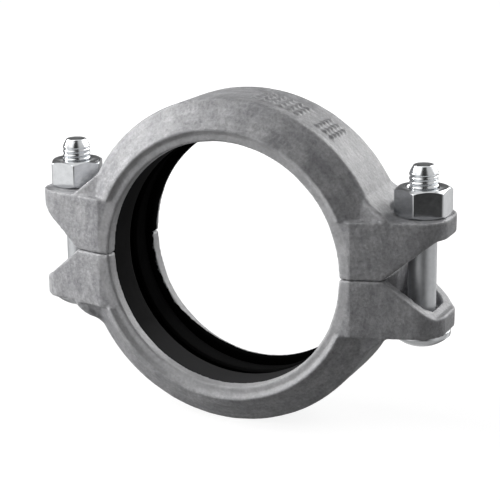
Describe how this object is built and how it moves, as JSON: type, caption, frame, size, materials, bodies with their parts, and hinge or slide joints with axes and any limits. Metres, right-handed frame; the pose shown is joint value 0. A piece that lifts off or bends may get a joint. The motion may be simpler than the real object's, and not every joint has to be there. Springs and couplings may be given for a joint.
{
  "type": "flexible grooved pipe coupling",
  "caption": "Grooved pipe coupling: cast housing segments with bolt pads clamp a rubber gasket round two pipe ends, closed by track bolts and hex nuts.",
  "frame": {"origin": "centre of the pipe opening, on the pipe's axis", "axes": "+Y along the pipe, +Z along the bolts from their heads to their nuts, +X across to the right bolt"},
  "size_m": [0.1942, 0.0526, 0.1464],
  "materials": {
    "housing": "grey as-cast surface, satin",
    "gasket": "black, matte",
    "fasteners": "zinc plated, bright"
  },
  "bodies": {
    "lower_body": {"lower_housing": "housing", "gasket": "gasket", "bolt_left": "fasteners", "bolt_right": "fasteners"},
    "upper_body": {"upper_housing": "housing"},
    "left_nut": {"nut_left": "fasteners"},
    "right_nut": {"nut_right": "fasteners"}
  },
  "joints": [
    {"name": "upper_lift", "type": "slide", "parent": "lower_body", "child": "upper_body", "axis": [0, 0, 1], "range_m": [0, 0.00977]},
    {"name": "left_nut_turn", "type": "hinge", "parent": "upper_body", "child": "left_nut", "pos_m": [-0.08435, 0, 0.03], "axis": [0, 0, 1], "range_deg": [0, 1800]},
    {"name": "right_nut_turn", "type": "hinge", "parent": "upper_body", "child": "right_nut", "pos_m": [0.08435, 0, 0.03], "axis": [0, 0, 1], "range_deg": [0, 1800]}
  ],
  "couplings": [
    {"joint": "left_nut_turn", "follows": "upper_lift", "rad_per_m": 3215.8},
    {"joint": "right_nut_turn", "follows": "upper_lift", "rad_per_m": 3215.8}
  ]
}
